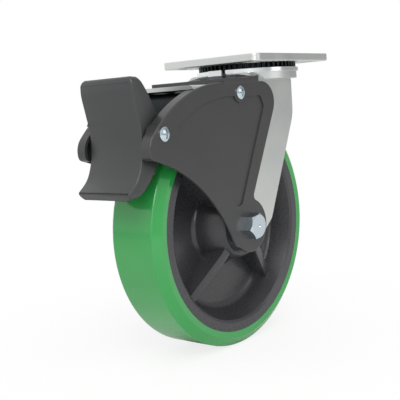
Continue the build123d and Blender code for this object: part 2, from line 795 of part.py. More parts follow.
with BuildPart() as brake_lever:
    with BuildSketch(side_plane(lever_ear_outer_y)):
        with BuildLine():
            tail = ThreePointArc(
                about_rest_axle(tail_r, tail_end),
                about_rest_axle(tail_r, (tail_start + tail_end) / 2),
                about_rest_axle(tail_r, tail_start),
            )
            Spline(
                tail @ 1,
                (lever_pivot_x - 20, lever_mid_z),
                tangents=[tail % 1, (1, 0)],
            )
            Line((lever_pivot_x - 20, lever_mid_z), (lever_nose_x, lever_mid_z))
        trace(line_width=lever_thickness)
    extrude(amount=2 * lever_ear_outer_y)
    with BuildSketch(Plane.XY.offset(lever_top_z + 5)):
        with BuildLine():
            half_plan = Polyline(
                (pedal_pivot_x - 10, 0),
                (pedal_pivot_x - 10, lever_tail_width / 2),
                (lever_pivot_x - 14, lever_tail_width / 2),
                (lever_pivot_x - 9, lever_ear_outer_y),
                (lever_pivot_x + 9, lever_ear_outer_y),
                (lever_pivot_x + 14, lever_tail_width / 2 - 2),
                (bridge_front_x + 6, lever_nose_width / 2),
                (lever_nose_x + 1, lever_nose_width / 2),
                (lever_nose_x + 1, 0),
            )
            mirror(half_plan, about=Plane.XZ)
        make_face()
    extrude(amount=-80, mode=Mode.INTERSECT)
    with BuildSketch(side_plane(lever_ear_outer_y)):
        with Locations((lever_pivot_x, lever_pivot_z)):
            Circle(lever_ear_r)
            with Locations((0, 0)):
                Rectangle(
                    2 * lever_ear_r,
                    lever_mid_z - lever_pivot_z,
                    align=(Align.CENTER, Align.MIN),
                )
    extrude(amount=lever_ear_thickness)
    with BuildSketch(side_plane(lever_ear_thickness - lever_ear_outer_y)):
        with Locations((lever_pivot_x, lever_pivot_z)):
            Circle(lever_ear_r)
            with Locations((0, 0)):
                Rectangle(
                    2 * lever_ear_r,
                    lever_mid_z - lever_pivot_z,
                    align=(Align.CENTER, Align.MIN),
                )
    extrude(amount=lever_ear_thickness)
    with BuildSketch(side_plane(lever_ear_outer_y, lever_pivot_x, lever_pivot_z)):
        Circle(lever_pin_r + running_fit)
    extrude(amount=2 * lever_ear_outer_y, mode=Mode.SUBTRACT)
save(brake_lever, "brake_lever")

with BuildPart() as brake_shoe:
    with BuildSketch(side_plane(shoe_width / 2)):
        with BuildLine():
            sole_arc = ThreePointArc(
                about_rest_axle(shoe_r, shoe_start_angle),
                about_rest_axle(shoe_r, (shoe_start_angle + shoe_end_angle) / 2),
                about_rest_axle(shoe_r, shoe_end_angle),
            )
            back_arc = ThreePointArc(
                about_rest_axle(shoe_r + shoe_thickness, shoe_start_angle),
                about_rest_axle(shoe_r + shoe_thickness, (shoe_start_angle + shoe_end_angle) / 2),
                about_rest_axle(shoe_r + shoe_thickness, shoe_end_angle),
            )
            Line(sole_arc @ 0, back_arc @ 0)
            Line(sole_arc @ 1, back_arc @ 1)
        make_face()
    extrude(amount=shoe_width)
save(brake_shoe, "brake_shoe")

dog_top_z = lock_ring_under_z + dog_engagement
dog_tooth_r = lock_ring_tip_r - dog_tooth_depth


def dog_half_angle(radius):
    """Half the angle that a dog tooth fills between two ring teeth at this radius."""
    depth = (lock_ring_tip_r - radius) / (lock_ring_tip_r - lock_ring_root_r)
    ring_share = lock_tooth_tip_share + depth * (lock_tooth_root_share - lock_tooth_tip_share)
    return lock_pitch * (1 - ring_share) / 2 - degrees(dog_play / radius)


with BuildPart() as lock_dog:
    with BuildSketch(released(Plane.XY.offset(dog_top_z))):
        with Locations((-dog_rim_r, 0)):
            Rectangle(dog_rim_width, dog_width, align=(Align.MIN, Align.CENTER))
        with PolarLocations(0, dog_tooth_count, 180 - lock_pitch, 2 * lock_pitch, endpoint=True):
            Polygon(
                polar(dog_tooth_r, -dog_half_angle(dog_tooth_r)),
                polar(dog_tooth_r, dog_half_angle(dog_tooth_r)),
                polar(lock_ring_tip_r + dog_swing_room + 1, dog_half_angle(lock_ring_tip_r)),
                polar(lock_ring_tip_r + dog_swing_room + 1, -dog_half_angle(lock_ring_tip_r)),
                align=None,
            )
    extrude(amount=-(dog_top_z - lever_top_z + 4))
    split(bisect_by=Plane.XY.offset(lever_top_z), keep=Keep.TOP)
save(lock_dog, "lock_dog")

# ================================================================ body: pedal
cam_applied = Location(axle_point) * Location(
    Vector(1, 0, 0).rotate(Axis.Y, -cam_angle)
    * (tail_r + lever_thickness / 2 + body_gap + cam_tip_r)
)
cam_tip = swung(pedal_pivot, pedal_travel, cam_applied).position

with BuildPart() as pedal:
    with BuildSketch(side_plane(pedal_width / 2)):
        with BuildLine():
            face = Spline(
                (-176.6, -19),
                (-177.2, -27),
                (-173, -40),
                (-170.4, -56),
                (-171.4, -73),
                (-177, -88),
                (-187.8, -97.5),
            )
            lip = Line(face @ 1, (-184.8, -103))
            back = Spline(
                lip @ 1,
                (-175, -100.3),
                (-163.5, -91),
                (-154, -79),
                (-148.6, -61),
                (-151.3, -44),
                (-160, -27),
                (-168, -15.5),
            )
            Line(back @ 1, (-173, -14.8))
            RadiusArc((-173, -14.8), face @ 0, 4.2)
        make_face()
    extrude(amount=pedal_width)
    # open behind: a face, two side walls, the lip and the top edge
    with BuildSketch(side_plane(pedal_width / 2 - pedal_wall)):
        with BuildLine():
            inside = Spline(
                (-172.8, -20),
                (-173.6, -28),
                (-169.7, -40),
                (-167.2, -56),
                (-168.1, -73),
                (-173.4, -87),
                (-178.5, -95),
            )
            Polyline(inside @ 1, (-140, -95), (-140, -20), inside @ 0)
        make_face()
    extrude(amount=pedal_width - 2 * pedal_wall, mode=Mode.SUBTRACT)
    with BuildSketch(side_plane(pedal_width / 2, pedal_pivot_x, pedal_pivot_z)):
        Circle(pedal_hub_r)
    extrude(amount=pedal_width)
    with BuildSketch(side_plane(cam_width / 2)):
        with BuildSketch(mode=Mode.PRIVATE) as cam_shape:
            with Locations((pedal_pivot_x, pedal_pivot_z)):
                Circle(pedal_hub_r)
            with Locations((cam_tip.X, cam_tip.Z)):
                Circle(cam_tip_r)
            make_hull()
        add(cam_shape.sketch)
        Polygon(
            (pedal_pivot_x, pedal_pivot_z + 8),
            (pedal_pivot_x, pedal_pivot_z - 8),
            (cam_tip.X, cam_tip.Z),
            (-170, cam_tip.Z),
            (-169.5, pedal_pivot_z + 12),
            align=None,
        )
    extrude(amount=cam_width)
    with BuildSketch(side_plane(pedal_width / 2, pedal_pivot_x, pedal_pivot_z)):
        Circle(pedal_pin_r + running_fit)
    extrude(amount=pedal_width, mode=Mode.SUBTRACT)
    # rounded corners seen from the front
    with BuildSketch(Plane.YZ.offset(pedal_pivot_x - 40)):
        with Locations((0, -58.9)):
            RectangleRounded(pedal_width, 88.4, pedal_corner_r)
    extrude(amount=60, mode=Mode.INTERSECT)
save(pedal, "pedal")
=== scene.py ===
"""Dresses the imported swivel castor: moulded nylon, polyurethane, zinc plating and a plain studio.

Lengths in the panel are metres, as Blender has them. MM turns a drawing's millimetres into metres.
"""

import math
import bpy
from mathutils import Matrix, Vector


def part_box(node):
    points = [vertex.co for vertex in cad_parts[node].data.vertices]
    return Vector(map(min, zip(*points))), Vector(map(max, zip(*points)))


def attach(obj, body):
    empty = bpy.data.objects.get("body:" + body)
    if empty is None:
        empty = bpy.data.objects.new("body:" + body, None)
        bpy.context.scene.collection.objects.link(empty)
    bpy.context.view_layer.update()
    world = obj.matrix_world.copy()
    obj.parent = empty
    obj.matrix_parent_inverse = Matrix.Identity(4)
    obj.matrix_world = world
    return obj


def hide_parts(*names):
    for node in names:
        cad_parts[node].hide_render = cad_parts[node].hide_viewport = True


bl_info = {
    "name": "Swivel Castor Finishes",
    "version": (1, 0, 0),
    "blender": (4, 5, 0),
    "location": "3D View > Sidebar > Castor",
    "description": "Gives the swivel castor its mouldings, tyre, plating and studio",
    "category": "Object",
}

import bpy
from mathutils import Matrix, Vector

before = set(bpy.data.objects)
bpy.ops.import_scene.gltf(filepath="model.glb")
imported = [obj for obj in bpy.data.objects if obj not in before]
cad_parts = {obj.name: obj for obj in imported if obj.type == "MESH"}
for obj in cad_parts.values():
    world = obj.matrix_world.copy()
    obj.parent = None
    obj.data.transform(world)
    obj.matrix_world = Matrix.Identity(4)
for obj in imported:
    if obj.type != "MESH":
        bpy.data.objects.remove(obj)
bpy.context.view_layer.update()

MM = 0.001
MERGE_DISTANCE = 0.01 * MM
SMOOTH_ANGLE = math.radians(32)
TURN_STEPS = 128

# a Mix node has sockets of the same name for each kind of data, so the colour ones go by number
COLOUR_MIX = {"data_type": "RGBA"}
MIX_FACTOR, MIX_A, MIX_B, MIX_RESULT = 0, 6, 7, 2

# cosine between the true and the rounded normal, where an edge's painted highlight (and on
# blackened steel its wear) starts and where it is full
EDGE_HIGHLIGHT_AND_WEAR_STARTS, EDGE_HIGHLIGHT_AND_WEAR_FULL = 0.995, 0.90

# roughness and depth of grain of the covers, the roof and the pedal, and of the smoother core
SATIN, SATIN_GRAIN = 0.36, 0.16
SMOOTH, SMOOTH_GRAIN = 0.27, 0.03

AXLE = (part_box("axle_sleeve")[0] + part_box("axle_sleeve")[1]) / 2
PEDAL_PIVOT = (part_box("pedal_pin")[0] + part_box("pedal_pin")[1]) / 2
FLOOR_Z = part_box("tread")[0].z


# ------------------------------------------------------------------------------- helpers
def linear(hex_colour):
    """Turn an sRGB hex colour into linear red, green and blue."""
    channels = [int(hex_colour[i : i + 2], 16) / 255 for i in (0, 2, 4)]
    return tuple(c / 12.92 if c <= 0.04045 else ((c + 0.055) / 1.055) ** 2.4 for c in channels)


def opaque(colour):
    """A colour with full alpha, as shader sockets want it."""
    return (*colour, 1.0)


def shade(colour, factor):
    """A colour made lighter or darker by a factor, with full alpha."""
    return opaque(tuple(min(1.0, c * factor) for c in colour))


def add(tree, kind, inputs=None, **settings):
    """Add a shader node with its settings, and set or link its inputs."""
    node = tree.nodes.new(kind)
    for name, value in settings.items():
        setattr(node, name, value)
    for name, value in (inputs or {}).items():
        if isinstance(value, bpy.types.NodeSocket):
            tree.links.new(value, node.inputs[name])
        else:
            node.inputs[name].default_value = value
    return node


def new_material(name):
    """A material with a Principled shader, and the place on the piece in object coordinates."""
    material = bpy.data.materials.new(name)
    material.use_nodes = True
    tree = material.node_tree
    tree.nodes.clear()
    shader = add(tree, "ShaderNodeBsdfPrincipled")
    add(tree, "ShaderNodeOutputMaterial", {"Surface": shader.outputs["BSDF"]})
    place = add(tree, "ShaderNodeTexCoord").outputs["Object"]
    return material, tree, shader, place


def dress(material, *names):
    """Put one material on CAD nodes."""
    for name in names:
        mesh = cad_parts[name].data
        mesh.materials.clear()
        mesh.materials.append(material)


def edge_mask(tree, radius):
    """White where two faces meet within a radius, and black on open faces."""
    rounded = add(tree, "ShaderNodeBevel", {"Radius": radius}, samples=6)
    geometry = add(tree, "ShaderNodeNewGeometry")
    agreement = add(
        tree,
        "ShaderNodeVectorMath",
        {0: rounded.outputs["Normal"], 1: geometry.outputs["Normal"]},
        operation="DOT_PRODUCT",
    )
    return add(
        tree,
        "ShaderNodeMapRange",
        {"Value": agreement.outputs["Value"], "From Min": EDGE_HIGHLIGHT_AND_WEAR_STARTS, "From Max": EDGE_HIGHLIGHT_AND_WEAR_FULL},
    ).outputs["Result"]


def add_piece(operator, name, **settings):
    """Add a primitive with nothing else selected, and name it."""
    bpy.ops.object.select_all(action="DESELECT")
    operator(**settings)
    piece = bpy.context.object
    piece.name = name
    return piece


def in_edit_mode(piece, *steps):
    """Run edit-mode operators, each with its settings, on the whole of one piece."""
    bpy.context.view_layer.objects.active = piece
    bpy.ops.object.mode_set(mode="EDIT")
    for operator, settings in steps:
        bpy.ops.mesh.select_all(action="SELECT")
        operator(**settings)
    bpy.ops.object.mode_set(mode="OBJECT")


def flat_outline(name, points):
    """A filled face whose corners lie at the given points, in order."""
    piece = add_piece(
        bpy.ops.mesh.primitive_circle_add, name, vertices=len(points), radius=1, fill_type="NGON"
    )
    for vertex, point in zip(piece.data.vertices, points):
        vertex.co = point
    return piece


def side_plate(name, outline, width):
    """A plate of the given width about Y = 0, from its side view in X and Z."""
    piece = flat_outline(name, [(x, -width / 2, z) for x, z in outline])
    in_edit_mode(
        piece,
        (bpy.ops.mesh.extrude_region_move, {"TRANSFORM_OT_translate": {"value": (0, width, 0)}}),
        (bpy.ops.mesh.normals_make_consistent, {"inside": False}),
    )
    return piece


def turned(name, points, centre, axis):
    """A closed section spun a full turn about an axis."""
    piece = flat_outline(name, points)
    in_edit_mode(
        piece,
        # only the section's edges are spun, so no face is left inside the solid
        (bpy.ops.mesh.delete, {"type": "ONLY_FACE"}),
        (
            bpy.ops.mesh.spin,
            {"steps": TURN_STEPS, "angle": 2 * math.pi, "center": centre, "axis": axis},
        ),
        (bpy.ops.mesh.remove_doubles, {"threshold": MERGE_DISTANCE}),
        (bpy.ops.mesh.normals_make_consistent, {"inside": False}),
    )
    return piece


def apply_modifier(piece, kind, **settings):
    """Add one modifier with its settings, and apply it."""
    modifier = piece.modifiers.new(kind.title(), kind)
    for name, value in settings.items():
        setattr(modifier, name, value)
    bpy.ops.object.select_all(action="DESELECT")
    bpy.context.view_layer.objects.active = piece
    piece.select_set(True)
    bpy.ops.object.modifier_apply(modifier=modifier.name)


def combine(piece, tool, operation):
    """Join, cut or intersect a piece with a tool, which is used up."""
    apply_modifier(piece, "BOOLEAN", operation=operation, object=tool, solver="EXACT")
    bpy.data.objects.remove(tool)


def finish_piece(piece, material, body, *replaced):
    """Smooth a piece, give it its material and body, and say which CAD nodes it stands for."""
    bpy.ops.object.select_all(action="DESELECT")
    bpy.context.view_layer.objects.active = piece
    piece.select_set(True)
    bpy.ops.object.shade_smooth_by_angle(angle=SMOOTH_ANGLE)
    piece.data.materials.clear()
    piece.data.materials.append(material)
    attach(piece, body)
    if replaced:
        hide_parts(*replaced)


def smooth_run(points, steps=7):
    """A smooth line through points, a Catmull-Rom curve with each stretch divided evenly."""
    points = [Vector(point) for point in points]
    ends = [2 * points[0] - points[1], *points, 2 * points[-1] - points[-2]]
    run = []
    for a, b, c, d in zip(ends, ends[1:], ends[2:], ends[3:]):
        bend = 2 * a - 5 * b + 4 * c - d
        twist = 3 * b - a - 3 * c + d
        for step in range(steps):
            t = step / steps
            run.append(0.5 * (2 * b + (c - a) * t + bend * t**2 + twist * t**3))
    return [*run, points[-1]]


def rounded_corner(before, corner, after, radius, steps=8):
    """The points of an arc that rounds off a corner between two straight lines."""
    before, corner, after = Vector(before), Vector(corner), Vector(after)
    towards, onwards = (before - corner).normalized(), (after - corner).normalized()
    half = towards.angle(onwards) / 2
    centre = corner + (towards + onwards).normalized() * radius / math.sin(half)
    start = corner + towards * radius / math.tan(half) - centre
    end = corner + onwards * radius / math.tan(half) - centre
    turns = [start.slerp(end, step / steps).normalized() for step in range(steps + 1)]
    return [centre + turn * radius for turn in turns]


# ----------------------------------------------------------------------------- materials
def moulded_nylon(name, colour, roughness, grain):
    """Glass-filled nylon from a spark-eroded mould: dull and even, with a fine grain, and a painted
    highlight along its rounded edges.

    The true grain is about 0.1 mm, too fine to show, so it is drawn some ten times coarser.
    """
    flow_size = 35 * MM
    grain_size = 1.1 * MM
    grain_depth = 0.12 * MM
    painted_highlight_width = 0.7 * MM
    material, tree, shader, place = new_material(name)
    flow = add(
        tree,
        "ShaderNodeTexNoise",
        {"Vector": place, "Scale": 1 / flow_size, "Detail": 3.0},
    )
    tone = add(
        tree,
        "ShaderNodeMix",
        {
            MIX_FACTOR: flow.outputs["Fac"],
            MIX_A: shade(colour, 0.90),
            MIX_B: shade(colour, 1.10),
        },
        **COLOUR_MIX,
    )
    # painted highlight: the rounded edges are drawn 45 per cent lighter, as if they caught the
    # lamps
    painted_highlight = add(
        tree,
        "ShaderNodeMix",
        {
            MIX_FACTOR: edge_mask(tree, painted_highlight_width),
            MIX_A: tone.outputs[MIX_RESULT],
            MIX_B: shade(colour, 1.45),
        },
        **COLOUR_MIX,
    )
    fine = add(
        tree,
        "ShaderNodeTexNoise",
        {"Vector": place, "Scale": 1 / grain_size, "Detail": 4.0, "Roughness": 0.65},
    )
    dull = add(
        tree,
        "ShaderNodeMapRange",
        {"Value": fine.outputs["Fac"], "To Min": roughness - 0.06, "To Max": roughness + 0.08},
    )
    bump = add(
        tree,
        "ShaderNodeBump",
        {"Height": fine.outputs["Fac"], "Strength": grain, "Distance": grain_depth},
    )
    tree.links.new(painted_highlight.outputs[MIX_RESULT], shader.inputs["Base Color"])
    tree.links.new(dull.outputs["Result"], shader.inputs["Roughness"])
    tree.links.new(bump.outputs["Normal"], shader.inputs["Normal"])
    shader.inputs["IOR"].default_value = 1.53
    return material


def polyurethane(colour):
    """Cast polyurethane tyre: glossy, a little waxy inside, with faint marks round its tread."""
    cloud_size = 45 * MM
    mark_size = 14 * MM
    mark_depth = 0.25 * MM
    mark_squeeze = 9.0
    material, tree, shader, place = new_material("Cast polyurethane")
    about_axle = add(tree, "ShaderNodeMapping", {"Vector": place, "Location": -AXLE})
    cloud = add(
        tree,
        "ShaderNodeTexNoise",
        {"Vector": about_axle.outputs["Vector"], "Scale": 1 / cloud_size, "Detail": 2.0},
    )
    tone = add(
        tree,
        "ShaderNodeMix",
        {
            MIX_FACTOR: cloud.outputs["Fac"],
            MIX_A: shade(colour, 0.92),
            MIX_B: shade(colour, 1.08),
        },
        **COLOUR_MIX,
    )
    # casting marks run round the tyre, so their pattern is squeezed along the axle
    stretched = add(
        tree,
        "ShaderNodeMapping",
        {"Vector": about_axle.outputs["Vector"], "Scale": (1.0, mark_squeeze, 1.0)},
    )
    marks = add(
        tree,
        "ShaderNodeTexNoise",
        {"Vector": stretched.outputs["Vector"], "Scale": 1 / mark_size, "Detail": 4.0},
    )
    gloss = add(
        tree,
        "ShaderNodeMapRange",
        {"Value": marks.outputs["Fac"], "To Min": 0.07, "To Max": 0.16},
    )
    bump = add(
        tree,
        "ShaderNodeBump",
        {"Height": marks.outputs["Fac"], "Strength": 0.10, "Distance": mark_depth},
    )
    tree.links.new(tone.outputs[MIX_RESULT], shader.inputs["Base Color"])
    tree.links.new(gloss.outputs["Result"], shader.inputs["Roughness"])
    tree.links.new(bump.outputs["Normal"], shader.inputs["Normal"])
    shader.inputs["IOR"].default_value = 1.50
    shader.inputs["Subsurface Weight"].default_value = 0.12
    shader.inputs["Subsurface Scale"].default_value = 2.5 * MM
    shader.inputs["Coat Weight"].default_value = 0.35
    shader.inputs["Coat Roughness"].default_value = 0.12
    return material


def zinc_plating(name, colour, roughness, spangle):
    """Bright zinc over rolled steel: silvery, cloudy in its passivation, with a painted highlight
    along its edges.
    """
    scratch_size = 0.9 * MM
    scratch_depth = 0.08 * MM
    scratch_stretch = 0.12
    painted_highlight_edge = 0.5 * MM
    material, tree, shader, place = new_material(name)
    cloud = add(
        tree,
        "ShaderNodeTexNoise",
        {"Vector": place, "Scale": 1 / spangle, "Detail": 5.0},
    )
    tone = add(
        tree,
        "ShaderNodeMix",
        {
            MIX_FACTOR: cloud.outputs["Fac"],
            MIX_A: opaque((colour[0] * 0.90, colour[1] * 0.92, colour[2] * 0.95)),
            MIX_B: opaque((colour[0] * 1.06, colour[1] * 1.05, colour[2] * 1.01)),
        },
        **COLOUR_MIX,
    )
    # painted highlight: the edges are drawn paler, as if they caught the lamps
    bright = add(
        tree,
        "ShaderNodeMix",
        {
            MIX_FACTOR: edge_mask(tree, painted_highlight_edge),
            MIX_A: tone.outputs[MIX_RESULT],
            MIX_B: shade(colour, 1.25),
        },
        **COLOUR_MIX,
    )
    rolled = add(
        tree,
        "ShaderNodeMapping",
        {"Vector": place, "Scale": (1.0, 1.0, scratch_stretch)},
    )
    scratches = add(
        tree,
        "ShaderNodeTexNoise",
        {"Vector": rolled.outputs["Vector"], "Scale": 1 / scratch_size, "Detail": 3.0},
    )
    dull = add(
        tree,
        "ShaderNodeMapRange",
        {"Value": cloud.outputs["Fac"], "To Min": roughness - 0.08, "To Max": roughness + 0.10},
    )
    bump = add(
        tree,
        "ShaderNodeBump",
        {"Height": scratches.outputs["Fac"], "Strength": 0.10, "Distance": scratch_depth},
    )
    tree.links.new(bright.outputs[MIX_RESULT], shader.inputs["Base Color"])
    tree.links.new(dull.outputs["Result"], shader.inputs["Roughness"])
    tree.links.new(bump.outputs["Normal"], shader.inputs["Normal"])
    shader.inputs["Metallic"].default_value = 1.0
    return material


def turned_steel(name, colour, roughness, centre, axis):
    """Plated or ground steel with the fine rings that a lathe leaves about its axis, and a painted
    highlight along its edges.

    The true feed is about 0.1 mm, too fine to show, so the rings stand 0.9 mm apart.
    """
    ring_spacing = 0.9 * MM
    ring_depth = 0.05 * MM
    painted_highlight_edge = 0.4 * MM
    material, tree, shader, place = new_material(name)
    centred = add(
        tree,
        "ShaderNodeMapping",
        {"Vector": place, "Location": -Vector(centre)},
    )
    rings = add(
        tree,
        "ShaderNodeTexWave",
        {
            "Vector": centred.outputs["Vector"],
            "Scale": 1 / ring_spacing,
            "Distortion": 0.6,
            "Detail": 1.0,
        },
        wave_type="RINGS",
        rings_direction=axis,
    )
    # painted highlight: the edges are drawn lighter, as if they caught the lamps
    tone = add(
        tree,
        "ShaderNodeMix",
        {
            MIX_FACTOR: edge_mask(tree, painted_highlight_edge),
            MIX_A: opaque(colour),
            MIX_B: shade(colour, 1.3),
        },
        **COLOUR_MIX,
    )
    dull = add(
        tree,
        "ShaderNodeMapRange",
        {"Value": rings.outputs["Fac"], "To Min": roughness - 0.04, "To Max": roughness + 0.06},
    )
    bump = add(
        tree,
        "ShaderNodeBump",
        {"Height": rings.outputs["Fac"], "Strength": 0.06, "Distance": ring_depth},
    )
    tree.links.new(tone.outputs[MIX_RESULT], shader.inputs["Base Color"])
    tree.links.new(dull.outputs["Result"], shader.inputs["Roughness"])
    tree.links.new(bump.outputs["Normal"], shader.inputs["Normal"])
    shader.inputs["Metallic"].default_value = 1.0
    return material


def black_oxide(colour):
    """Blackened steel: dark and oily, with its edges drawn lighter, partly as bare metal worn
    through and partly as a painted highlight.
    """
    oil_patch = 6 * MM
    bare_and_highlight_edge = 0.4 * MM
    material, tree, shader, place = new_material("Black oxide steel")
    cloud = add(
        tree,
        "ShaderNodeTexNoise",
        {"Vector": place, "Scale": 1 / oil_patch, "Detail": 4.0},
    )
    # lighter edges: partly real bare metal, partly painted highlight
    tone = add(
        tree,
        "ShaderNodeMix",
        {
            MIX_FACTOR: edge_mask(tree, bare_and_highlight_edge),
            MIX_A: opaque(colour),
            MIX_B: shade(colour, 3.5),
        },
        **COLOUR_MIX,
    )
    dull = add(
        tree,
        "ShaderNodeMapRange",
        {"Value": cloud.outputs["Fac"], "To Min": 0.30, "To Max": 0.52},
    )
    tree.links.new(tone.outputs[MIX_RESULT], shader.inputs["Base Color"])
    tree.links.new(dull.outputs["Result"], shader.inputs["Roughness"])
    shader.inputs["Metallic"].default_value = 0.85
    return material


def seal_rubber(colour):
    """Nitrile rubber seal: near black and dull, a little dusty."""
    dust_patch = 3 * MM
    material, tree, shader, place = new_material("Nitrile rubber")
    dust = add(
        tree,
        "ShaderNodeTexNoise",
        {"Vector": place, "Scale": 1 / dust_patch, "Detail": 4.0},
    )
    tone = add(
        tree,
        "ShaderNodeMix",
        {
            MIX_FACTOR: dust.outputs["Fac"],
            MIX_A: shade(colour, 0.8),
            MIX_B: shade(colour, 1.4),
        },
        **COLOUR_MIX,
    )
    tree.links.new(tone.outputs[MIX_RESULT], shader.inputs["Base Color"])
    shader.inputs["Roughness"].default_value = 0.62
    return material


def studio_paper(colour):
    """Matt white paper for the floor: white to the eye, with the shadow kept."""
    shadow_reach = 60 * MM
    white_from = 300 * MM
    white_near_wheel = 0.80
    material = bpy.data.materials.new("Studio paper")
    material.use_nodes = True
    tree = material.node_tree
    tree.nodes.clear()
    matt = add(tree, "ShaderNodeBsdfDiffuse", {"Color": opaque(colour)})
    white = add(tree, "ShaderNodeEmission", {"Color": (1, 1, 1, 1), "Strength": 1.0})
    path = add(tree, "ShaderNodeLightPath")
    # the paper is pure white away from the wheel, so it has no far edge
    place = add(tree, "ShaderNodeTexCoord").outputs["Object"]
    away = add(
        tree,
        "ShaderNodeVectorMath",
        {0: place, 1: (AXLE.x, 0, 0)},
        operation="DISTANCE",
    )
    whiteness = add(
        tree,
        "ShaderNodeMapRange",
        {
            "Value": away.outputs["Value"],
            "From Min": shadow_reach,
            "From Max": white_from,
            "To Min": white_near_wheel,
            "To Max": 1.0,
        },
    )
    seen = add(
        tree,
        "ShaderNodeMath",
        {0: path.outputs["Is Camera Ray"], 1: whiteness.outputs["Result"]},
        operation="MULTIPLY",
    )
    mixed = add(
        tree,
        "ShaderNodeMixShader",
        {0: seen.outputs["Value"], 1: matt.outputs["BSDF"], 2: white.outputs["Emission"]},
    )
    add(tree, "ShaderNodeOutputMaterial", {"Surface": mixed.outputs["Shader"]})
    return material


# ---------------------------------------------------------------------------- properties
def colour_property(name, description, hex_colour):
    """A colour a user may change, given as an sRGB hex value."""
    return bpy.props.FloatVectorProperty(
        name=name,
        description=description,
        subtype="COLOR",
        size=3,
        min=0.0,
        max=1.0,
        default=linear(hex_colour),
    )


class CastorFinishes(bpy.types.PropertyGroup):
    """Colours of the castor's mouldings, tyre and plating."""

    cover: colour_property("Covers", "Moulded side covers and roof", "333334")
    pedal: colour_property("Pedal", "Moulded brake pedal", "343536")
    core: colour_property("Wheel core", "Moulded wheel core", "353538")
    tyre: colour_property("Tyre", "Polyurethane tyre", "2c9446")
    zinc: colour_property("Zinc", "Zinc plating on fork and plate", "d4d7d5")
    bright: colour_property("Bright zinc", "Zinc on the rings and races", "e2e6e8")
    blue: colour_property("Blue zinc", "Blue-passivated bolts and screws", "c2cfd6")
    oxide: colour_property("Black oxide", "Blackened lock ring and lever", "24282a")
    shoe: colour_property("Brake shoe", "Coated brake shoe", "cfc8b8")
    rubber: colour_property("Seals", "Hub seals", "1c1c1d")


def length_property(name, description, default):
    """A length a user may change, with its default in metres."""
    return bpy.props.FloatProperty(
        name=name, description=description, default=default, min=0.0, unit="LENGTH"
    )


class CastorMouldings(bpy.types.PropertyGroup):
    """Sizes of the moulded pedal, roof and wheel core."""

    pedal_width: length_property("Pedal width", "Across both side walls", 54 * MM)
    pedal_wall: length_property("Pedal wall", "Thickness of its face and sides", 3.2 * MM)
    pedal_corner: length_property("Pedal corner", "Radius of the face's corners", 5.5 * MM)
    pedal_edge: length_property("Pedal edge", "Round along every rim", 1.2 * MM)
    pedal_hub: length_property("Pedal hub", "Radius round the pivot pin", 9 * MM)
    collar_radius: length_property("Collar radius", "Roof's collar round the bearing", 47 * MM)
    collar_foot: length_property("Collar foot", "Where the collar meets the flat roof", 66 * MM)
    dish_round: length_property("Dish round", "Between the core's web and rim", 9 * MM)
    hub_round: length_property("Hub round", "Between the core's web and hub", 5 * MM)
    rib_thickness: length_property("Rib thickness", "Each of the core's ribs", 8 * MM)


def power_property(name, description, default):
    """A lamp's power a user may change, in watts."""
    return bpy.props.FloatProperty(
        name=name, description=description, default=default, min=0.0, unit="POWER"
    )


class CastorStudio(bpy.types.PropertyGroup):
    """Paper, lamps and camera lens."""

    paper: colour_property("Paper", "Floor and backdrop", "f4f4f3")
    key_power: power_property("Key lamp", "Large soft lamp", 6.5)
    fill_power: power_property("Fill lamp", "Lamp that lifts the shadows", 2.2)
    strip_power: power_property("Strip lamp", "Tall thin lamp for glints", 3.0)
    sky: bpy.props.FloatProperty(
        name="Sky", description="Strength of the even light from all round", default=0.75, min=0.0
    )
    grey_wall: bpy.props.FloatProperty(
        name="Grey wall",
        description="How bright the wall that faces the covers is in reflections",
        default=0.40,
        min=0.0,
    )
    lens: bpy.props.FloatProperty(
        name="Lens",
        description="Focal length on a 36 mm sensor",
        default=70.46,
        min=1.0,
        unit="CAMERA",
    )


# ----------------------------------------------------------------------------- operators
class CASTOR_OT_mouldings(bpy.types.Operator):
    """Finish the side covers"""

    bl_idname = "castor.mouldings"
    bl_label = "Mouldings"

    def execute(self, context):
        colours = context.scene.castor_finishes
        dress(
            moulded_nylon("Glass-filled nylon", colours.cover, SATIN, SATIN_GRAIN),
            "right_cover",
            "left_cover",
        )
        return {"FINISHED"}


class CASTOR_OT_wheel(bpy.types.Operator):
    """Finish the tyre, the hub bearing and its seals"""

    bl_idname = "castor.wheel"
    bl_label = "Wheel"

    def execute(self, context):
        colours = context.scene.castor_finishes
        ground_steel = linear("b9babb")
        dress(polyurethane(colours.tyre), "tread")
        dress(
            turned_steel(
                "Ground bearing steel", ground_steel, roughness=0.22, centre=AXLE, axis="Y"
            ),
            "hub_race",
            "hub_rollers",
            "axle_sleeve",
        )
        dress(seal_rubber(colours.rubber), "hub_seals")
        return {"FINISHED"}


